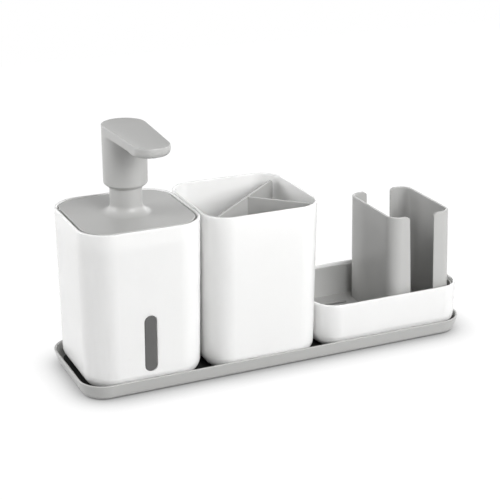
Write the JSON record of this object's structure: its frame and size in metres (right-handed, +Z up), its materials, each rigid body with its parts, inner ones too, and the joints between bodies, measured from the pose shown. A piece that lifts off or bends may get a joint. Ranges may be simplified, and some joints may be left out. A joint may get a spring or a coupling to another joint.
{
  "type": "sink organizer",
  "caption": "Tray for a sink side holding a pump soap dispenser, a divided pot for brushes and a drainer dish with upright sponge guards.",
  "frame": {"origin": "on the worktop, under the middle of the tray, which stands 0.6 mm above it on its pads", "axes": "+Z up; +X along the row from the soap dispenser to the drainer dish; -Y is the front, where the nozzle points"},
  "size_m": [0.2952, 0.101, 0.1769],
  "materials": {
    "grey_satin_plastic": "satin, finely textured",
    "white_gloss_plastic": "glossy",
    "smoky_plastic": "tinted, glossy",
    "natural_plastic": "milky, uncoloured",
    "black_rubber": "matt",
    "spring_steel": "drawn wire",
    "ball_steel": "polished"
  },
  "bodies": {
    "tray": {"tray": "grey_satin_plastic", "tray_mat": "black_rubber", "tray_foot_front_left": "black_rubber", "tray_foot_front_right": "black_rubber", "tray_foot_back_left": "black_rubber", "tray_foot_back_right": "black_rubber"},
    "bottle": {"bottle": "white_gloss_plastic", "level_window": "smoky_plastic"},
    "lid": {"lid": "grey_satin_plastic", "lid_seal": "black_rubber", "pump_housing": "natural_plastic", "housing_gasket": "black_rubber", "stem_guide": "natural_plastic", "dip_tube": "natural_plastic", "pump_spring": "spring_steel"},
    "inlet_valve": {"inlet_ball": "ball_steel"},
    "plunger": {"pump_stem": "natural_plastic", "piston": "natural_plastic"},
    "discharge_valve": {"discharge_ball": "ball_steel"},
    "head": {"pump_head": "grey_satin_plastic", "nozzle_tube": "natural_plastic"},
    "pot": {"pot": "white_gloss_plastic"},
    "divider": {"pot_divider": "grey_satin_plastic"},
    "dish": {"dish": "white_gloss_plastic"},
    "drainer": {"drainer_insert": "grey_satin_plastic", "sponge_guard_left": "grey_satin_plastic", "sponge_guard_right": "grey_satin_plastic"}
  },
  "joints": [
    {"name": "bottle_lift", "type": "slide", "parent": "tray", "child": "bottle", "axis": [0, 0, 1], "range_m": [0, 0.12]},
    {"name": "lid_lift", "type": "slide", "parent": "bottle", "child": "lid", "axis": [0, 0, 1], "range_m": [0, 0.112]},
    {"name": "head_press", "type": "slide", "parent": "lid", "child": "plunger", "axis": [0, 0, -1], "range_m": [0, 0.01], "stiffness_N_per_m": 400, "springref_m": -0.012, "deforming": ["pump_spring"]},
    {"name": "head_swivel", "type": "hinge", "parent": "plunger", "child": "head", "pos_m": [-0.1008, 0, 0.155], "axis": [0, 0, 1], "continuous": true},
    {"name": "inlet_valve_lift", "type": "slide", "parent": "lid", "child": "inlet_valve", "axis": [0, 0, 1], "range_m": [0, 0.0015]},
    {"name": "discharge_valve_lift", "type": "slide", "parent": "plunger", "child": "discharge_valve", "axis": [0, 0, 1], "range_m": [0, 0.0015]},
    {"name": "pot_lift", "type": "slide", "parent": "tray", "child": "pot", "axis": [0, 0, 1], "range_m": [0, 0.12]},
    {"name": "divider_lift", "type": "slide", "parent": "pot", "child": "divider", "axis": [0, 0, 1], "range_m": [0, 0.112]},
    {"name": "dish_lift", "type": "slide", "parent": "tray", "child": "dish", "axis": [0, 0, 1], "range_m": [0, 0.12]},
    {"name": "drainer_lift", "type": "slide", "parent": "dish", "child": "drainer", "axis": [0, 0, 1], "range_m": [0, 0.04]}
  ]
}
